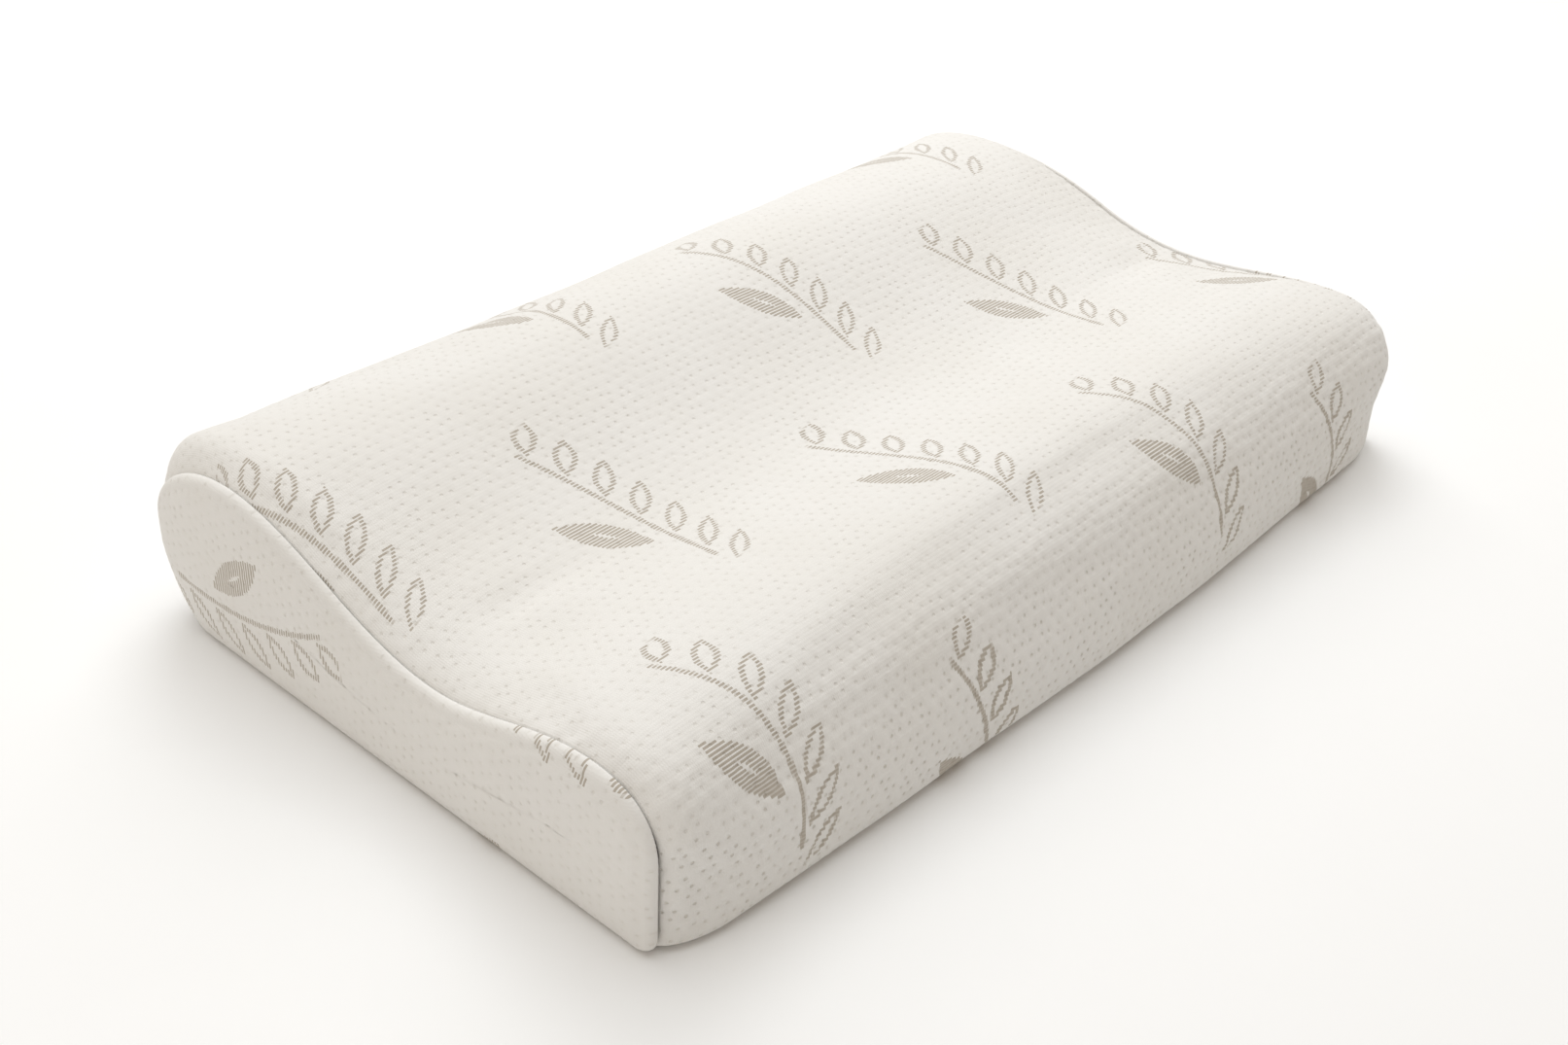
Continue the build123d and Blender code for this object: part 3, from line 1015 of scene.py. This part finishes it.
# The zip's strip and the base stay as they are, and dimples fade out beside the end seams.
wrap = pillow_grid(0, 0, GROOVE_X, ROUNDING_ROWS, MIDDLE_ROWS)
free_of_zip = smooth(np.abs(wrap[:, :, 2] - ZIP_Z) + 60 * (wrap[:, :, 1] < 150), 11, 26)
free = (free_of_zip * smooth(wrap[:, :, 2], 0.2, 6))[:, :, None]
slow = np.zeros_like(wrap)
slow += blown(wrap, [ends[word][EDGE_RINGS:] for _, word in SIDES]) * free
wrap = wrap + slow
u, v = cloth_coordinates(wrap)
flat_u, flat_v = cloth_coordinates(with_allowance(wrap, 0, GROOVE_X))
from_seam = (np.abs(u[0]) + np.abs(u[-1]))[None, :] / 2 - np.abs(u)
front_face = (1 - smooth(wrap[:, :, 1], -176, -150)) * smooth(wrap[:, :, 2], 4, 16)
height = dimples(u, v) * smooth(from_seam, 4, 14) * (PITS_ON_TOP + PITS_ON_FRONT * front_face)
height += unevenness(u, v) * smooth(from_seam, 0, 9) + puckers(from_seam, v)
drift = 1.2 * np.sin(0.17 * v)
height += FRONT_RELIEF * front_face * np.sin(0.052 * u + drift + 0.4) * np.sin(0.11 * v + 0.9)
wrap = wrap + normals(wrap) * (height[:, :, None] * free)
wrap[:, :, 2] = np.maximum(wrap[:, :, 2], LOWEST)
cover_grid, cover_uv = with_slot(with_allowance(wrap, 0, GROOVE_X), flat_u, flat_v)
cover_wrap = shell("cover_wrap_cloth", cover_grid, CLOTH, COVER, cover_uv)

cover_ends = []
for side, word in SIDES:
    rings = ends[word]
    y, z = rings[:, :, 1], rings[:, :, 2]
    from_roll = np.linalg.norm(rings - rings[EDGE_RINGS + 3], axis=2)
    end_u, end_v = END_SPRIG[0] - z, END_SPRIG[1] - y
    inwards = off_roll(rings)
    height = dimples(end_u, end_v) * inwards + END_UNEVENNESS * unevenness(-z + 300 * side, -y) * inwards
    height += puckers(from_roll, y + 2 * z) * inwards
    rings[:, :, 0] += side * height
    uv = np.stack([end_u, end_v], axis=2)
    cover_ends.append(panel(f"cover_end_{word}_cloth", rings, side, CLOTH, COVER, uv))


def overlock(name, seam, groove_x, side):
    """Thread wound round the two turned-in edges all along a seam."""
    loop = np.concatenate([seam[:-1], seam[:1]])
    place = run_along(loop)
    turns = int(place[-1] / OVERLOCK_PITCH)
    at = np.linspace(0, place[-1], turns * 7, endpoint=False)
    angle = at / place[-1] * turns * FULL_TURN
    inner = inset(seam, 1.0)[:-1] - seam[:-1]
    inner = np.concatenate([inner, inner[:1]])
    base, inward = (
        np.stack([np.interp(at, place, points[:, k]) for k in (0, 1)], axis=1) for points in (loop, inner)
    )
    half_depth, half_width = OVERLOCK_HALF
    path = base + inward * (OVERLOCK_DEPTH + half_depth * np.sin(angle))[:, None]
    x = side * (groove_x - half_width + half_width * np.cos(angle))
    return threads(name, [tube(np.column_stack([x, path]), OVERLOCK_THREAD, 4, closed=True)], OVERLOCK)


# ---- the liner and the foam

LINER_GAP = 4.0
LINER_FACE_X = 290.6
LINER_GROOVE_X = LINER_FACE_X - 6.2
LINER_CLOTH = 0.6
LINER_RINGS = 14
LINER_CROWN = 0.8
FOAM_GAP = 5.2
FOAM_SEAM_GAP = 9.4
FOAM_EDGE_X = 281.0
FOAM_ROUNDING = 14
FOAM_RINGS = 12
FOAM_CROWN = 1.5
LINER_ROWS = (9, 110)
FOAM_ROWS = (10, 90)

liner_grid = pillow_grid(LINER_GAP, LINER_GAP, LINER_GROOVE_X, *LINER_ROWS) + followed(slow, *LINER_ROWS)
slack = 0.4 * unevenness(liner_grid[:, :, 0], ALONG) - 0.4
liner_grid = liner_grid + normals(liner_grid) * slack[:, :, None]
liner_seams = {word: inset(seam, LINER_GAP) for word, seam in SEAM_LINES.items()}
liner_grid = with_allowance(liner_grid, LINER_GAP, LINER_GROOVE_X)
keep = coarse(COLUMNS, 2)
liner_uv = np.stack(cloth_coordinates(liner_grid), axis=2)[:, keep]
liner_sleeve = shell("liner_sleeve_cloth", liner_grid[:, keep], LINER_CLOTH, LINER, liner_uv)

liner_ends = []
for side, word in SIDES:
    rings = end_rings(liner_seams[word], LINER_FACE_X, LINER_GROOVE_X, LINER_RINGS, LINER_CROWN)
    rings *= (side, 1, 1)
    y, z = rings[:, :, 1], rings[:, :, 2]
    rings[:, :, 0] += side * 0.5 * unevenness(y, z + 90 * side) * off_roll(rings)
    uv = np.stack([-z, -y], axis=2)
    liner_ends.append(panel(f"liner_end_{word}_cloth", rings, side, LINER_CLOTH, LINER, uv, 2))

core = pillow_grid(FOAM_GAP, FOAM_SEAM_GAP, FOAM_EDGE_X, *FOAM_ROWS)
core = (core + followed(slow, *FOAM_ROWS))[:, :-1]
core_ends = []
for side, word in SIDES:
    core_seam = inset(SEAM_LINES[word], FOAM_SEAM_GAP)[:-1]
    rings = []
    for turn in np.radians((79, 84, 89)):
        lean = FOAM_EDGE_X + FOAM_ROUNDING * (math.sin(turn) - math.sin(ROUNDING_ANGLE))
        depth = FOAM_ROUNDING * (math.cos(ROUNDING_ANGLE) - math.cos(turn))
        rings.append(ring(core_seam, depth, lean))
    rings += to_spine(rings[-1], FOAM_RINGS, FOAM_CROWN)
    core_ends.append(np.array(rings) * (side, 1, 1))
core = np.concatenate([core_ends[0][::-1], core, core_ends[1]])
count, width = core.shape[:2]
core_faces = band_faces(count, width, True)
core_faces += [cap(0, width, False), cap((count - 1) * width, width, True)]
foam_core = make_piece("foam_core_block", listed(core), core_faces, FOAM)

overlocks = {}
for side, word in SIDES:
    for bag, seams, groove_x in (("cover", SEAM_LINES, GROOVE_X), ("liner", liner_seams, LINER_GROOVE_X)):
        node = f"{bag}_overlock_{word}"
        overlocks[node] = overlock(f"{node}_thread", seams[word], groove_x, side)

# ---- the zip

TAPE_WAVE = 0.08
COIL_PITCH = 1.4
COIL_WIRE = 0.23
CLEAR_OF_SLIDER = 0.42
STITCH_PITCH = 3.1
STITCH_LENGTH = 2.5
TACK_PITCH = 0.42
TACK_MARGIN = 0.3
TACK_WIDTH = 2.4
TACK_THREAD = 0.2


def tape(name, node):
    """One side's woven tape, a touch wavy."""
    low, high = box_mm(node)
    x = np.linspace(low[0], high[0], 150)[:, None]
    z = np.linspace(high[2], low[2], 8)[None, :]
    y = high[1] + TAPE_WAVE * np.sin(x / 13) * np.linspace(1, 0.4, 8)[None, :] - TAPE_WAVE
    grid = np.stack(np.broadcast_arrays(x, y, z), axis=2)
    return shell(name, grid, high[1] - low[1] - 2 * TAPE_WAVE, TAPE, grid[:, :, ::2], 3)


def coil(name, node):
    """One side's coil: a filament wound in flattened loops along the tape's edge."""
    low, high = box_mm(node)
    sign = 1 if high[2] + low[2] > 2 * ZIP_Z else -1
    outer = abs((high[2] if sign > 0 else low[2]) - ZIP_Z) - COIL_WIRE
    inner = CLEAR_OF_SLIDER + COIL_WIRE
    half_y = (high[1] - low[1]) / 2 - COIL_WIRE
    turns = int((high[0] - low[0] - 1) / COIL_PITCH)
    angle = np.arange(turns * 9) / 9 * FULL_TURN
    x = low[0] + 0.5 + angle / FULL_TURN * COIL_PITCH + (COIL_PITCH / 2 if sign > 0 else 0)
    z = ZIP_Z + sign * ((outer + inner) / 2 + (outer - inner) / 2 * np.cos(angle))
    y = (low[1] + high[1]) / 2 + half_y * np.sin(angle)
    return threads(name, [tube(np.column_stack([x, y, z]), COIL_WIRE, 5)], COIL)


def topstitch(name, node):
    """A row of separate machine stitches, each dipping into the cloth at its ends."""
    low, high = box_mm(node)
    middle_z = (low[2] + high[2]) / 2
    count = int((high[0] - low[0]) / STITCH_PITCH)
    start = (low[0] + high[0] - (count - 1) * STITCH_PITCH) / 2
    share = np.linspace(-1, 1, 7)
    parts = []
    for i in range(count):
        x = start + i * STITCH_PITCH + share * STITCH_LENGTH / 2
        y = low[1] + 0.16 - 0.4 * share**4
        z = middle_z + 0.12 * share + 0.05 * math.sin(i * 1.7)
        radius = 0.24 - 0.08 * share**4
        parts.append(tube(np.column_stack([x, y, z]), radius))
    return threads(name, parts, STITCH)


def bartacks(name, node):
    """The dense zigzag of thread across each end of the zip."""
    low, high = box_mm(node)
    steps = 2 * int((high[2] - low[2]) / TACK_PITCH)
    parts = []
    for side in (-1, 1):
        ends_x = (side * (high[0] - TACK_MARGIN - TACK_WIDTH), side * (high[0] - TACK_MARGIN))
        path = []
        for i in range(steps):
            x, following = ends_x[i % 2], ends_x[1 - i % 2]
            z = low[2] + TACK_MARGIN + i * (high[2] - low[2] - 2 * TACK_MARGIN) / (steps - 1)
            for share in np.linspace(0, 1, 5)[:-1]:
                lift = math.sin(share * math.pi)
                path.append((x + share * (following - x), low[1] + 0.08 + 0.22 * lift, z))
        parts.append(tube(path, TACK_THREAD))
    return threads(name, parts, STITCH)


def stops(name, node):
    """The small crimped stops: one on each row at the top end, and one over both at the bottom end."""
    low, high = box_mm(node)
    one_each = node == "zip_top_stops"
    spans = [(low[2], ZIP_Z - 0.65), (ZIP_Z + 0.65, high[2])] if one_each else [(low[2], high[2])]
    parts = []
    for bottom, top in spans:
        parts.append(soft_block((low[0], low[1], bottom), (high[0], high[1], top)))
        ridge_low = (low[0] + 0.5, high[1] - 0.3, bottom + 0.3)
        parts.append(soft_block(ridge_low, (high[0] - 0.5, high[1] + 0.15, top - 0.3)))
    return threads(name, parts, METAL)


zip_pieces = {}
for part, make, ending, slot in (
    ("tape", tape, "weave", "zip_tape"),
    ("coil", coil, "loops", "zip_coil"),
    ("topstitch", topstitch, "thread", "topstitch_thread"),
):
    for node in (f"zip_{part}_upper", f"zip_{part}_lower"):
        zip_pieces[node] = (make(f"{node}_{ending}", node), slot)
zip_pieces["zip_bartacks"] = (bartacks("zip_bartacks_thread", "zip_bartacks"), "topstitch_thread")
for node in ("zip_top_stops", "zip_bottom_stop"):
    zip_pieces[node] = (stops(f"{node}_crimped", node), "zip_metal")

# ---- the care label

LABEL_THICK = 0.35
LABEL_RAISE = 0.75
LABEL_START_X = END_X - 1.2
LABEL_TUCK = 1.6


def end_surface(rings, y, z):
    """The furthest out an end panel comes within a few millimetres of y and z."""
    apart = np.hypot(rings[:, :, 1] - y, rings[:, :, 2] - z)
    return rings[:, :, 0][apart < apart.min() + 2.5].max()


# The label comes out of the seam, follows the end panel and curls away from it a little.
share = np.linspace(0, 1, 46)
path_y = label_high[1] + LABEL_TUCK - share * (label_high[1] - label_low[1] + LABEL_TUCK)
across = np.linspace(label_low[2], label_high[2], 15)
surface = np.array([[end_surface(ends["right"], y, z) for z in across] for y in path_y])
for _ in range(6):
    surface[1:-1] = (surface[:-2] + surface[1:-1] + surface[2:]) / 3
lift = (1 - np.exp(-share * 22))[:, None]
bow = ((across - ZIP_Z) / (label_high[2] - label_low[2]) * 2) ** 2
curl = 0.5 * np.sin(share * 5.0) * share + 2.2 * share**3
label_x = LABEL_START_X * (1 - lift) + (surface + LABEL_RAISE) * lift
label_x += curl[:, None] + 0.9 * bow[None, :] * share[:, None] ** 2
label_grid = np.stack(np.broadcast_arrays(label_x, path_y[:, None], across[None, :]), axis=2)
care_label = shell("care_label_satin", label_grid, LABEL_THICK, SATIN, label_grid[:, :, 1:], 2)

# ---- how the pieces belong to the object

replaced = {
    "cover_wrap": (cover_wrap, "cover_knit"),
    "cover_end_left": (cover_ends[0], "cover_knit"),
    "cover_end_right": (cover_ends[1], "cover_knit"),
    "liner_sleeve": (liner_sleeve, "liner_cloth"),
    "liner_end_left": (liner_ends[0], "liner_cloth"),
    "liner_end_right": (liner_ends[1], "liner_cloth"),
    "foam_core": (foam_core, "foam"),
    "care_label": (care_label, "satin"),
}
replaced.update({node: (piece, "overlock_thread") for node, piece in overlocks.items()})
replaced.update(zip_pieces)
for node, (piece, slot) in replaced.items():
    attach(piece, "label" if node == "care_label" else "pillow")
    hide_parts(node)

for node in ("zip_slider", "zip_pull"):
    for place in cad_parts[node].material_slots:
        place.material = METAL

# ---- floor, light and camera

LOOK_AT = Vector((-83.4, -43.3, 54.0)) * MM
CAMERA_DISTANCE = 957.8 * MM
CAMERA_AZIMUTH, CAMERA_ELEVATION, CAMERA_ROLL = (math.radians(a) for a in (-49.38, 33.09, 3.03))

camera = add_object("camera", bpy.data.cameras.new("camera"))
camera.data.lens = 44.65
camera.data.sensor_width = 36
bpy.context.scene.camera = camera
turned = Matrix.Rotation(CAMERA_AZIMUTH, 4, "Z") @ Matrix.Rotation(math.pi / 2 - CAMERA_ELEVATION, 4, "X")
turned = turned @ Matrix.Rotation(CAMERA_ROLL, 4, "Z")
camera_place = LOOK_AT + turned.to_3x3() @ Vector((0, 0, CAMERA_DISTANCE))
camera.matrix_world = Matrix.Translation(camera_place) @ turned

look = Look("floor", (0.93, 0.93, 0.93), 0.9)
floor_material = look.done(look.blend(look.noise(40), (0.965, 0.975, 0.985), (0.955, 0.965, 0.975)))
FLOOR = 9000
floor_corners = [(-FLOOR, -FLOOR, 0), (FLOOR, -FLOOR, 0), (FLOOR, FLOOR, 0), (-FLOOR, FLOOR, 0)]
floor = make_piece("floor", floor_corners, [(0, 1, 2, 3)], floor_material)


def add_light(name, kind, place, aim, power, colour):
    """A light at a place, in metres, turned towards a point."""
    data = bpy.data.lights.new(name, kind)
    data.energy = power
    data.color = colour
    light = add_object(name, data)
    light.location = place
    light.rotation_euler = (Vector(aim) - Vector(place)).to_track_quat("-Z", "Y").to_euler()
    return data


sun = add_light("key", "SUN", (0.15, 0.2, 1.5), (0, 0, 0), 1.47, (0.935, 0.975, 1.0))
sun.angle = math.radians(65)
add_light("side", "AREA", (0.8, 0.9, 1.3), (0, 0, 0), 12, (0.975, 0.99, 1.0)).size = 1.2
add_light("fill", "AREA", (-1.9, 0.3, 0.7), (0, 0, 0.05), 3.6, (1.0, 0.94, 0.86)).size = 1.0
world = bpy.data.worlds.new("studio")
world.use_nodes = True
world_tree = world.node_tree
sky = world_tree.nodes["Background"]
sky.inputs["Color"].default_value = (1.0, 0.87, 0.73, 1)
sky.inputs["Strength"].default_value = 0.36
backdrop, seen, choice = (
    world_tree.nodes.new("ShaderNode" + kind) for kind in ("Background", "LightPath", "MixShader")
)
backdrop.inputs["Color"].default_value = (0.738, 0.717, 0.685, 1)
sources = (seen.outputs["Is Camera Ray"], sky.outputs[0], backdrop.outputs[0])
for source, socket in zip(sources, choice.inputs):
    join(source, socket)
join(choice.outputs[0], world_tree.nodes["World Output"].inputs["Surface"])
bpy.context.scene.world = world
bpy.context.scene.view_settings.view_transform = "Standard"
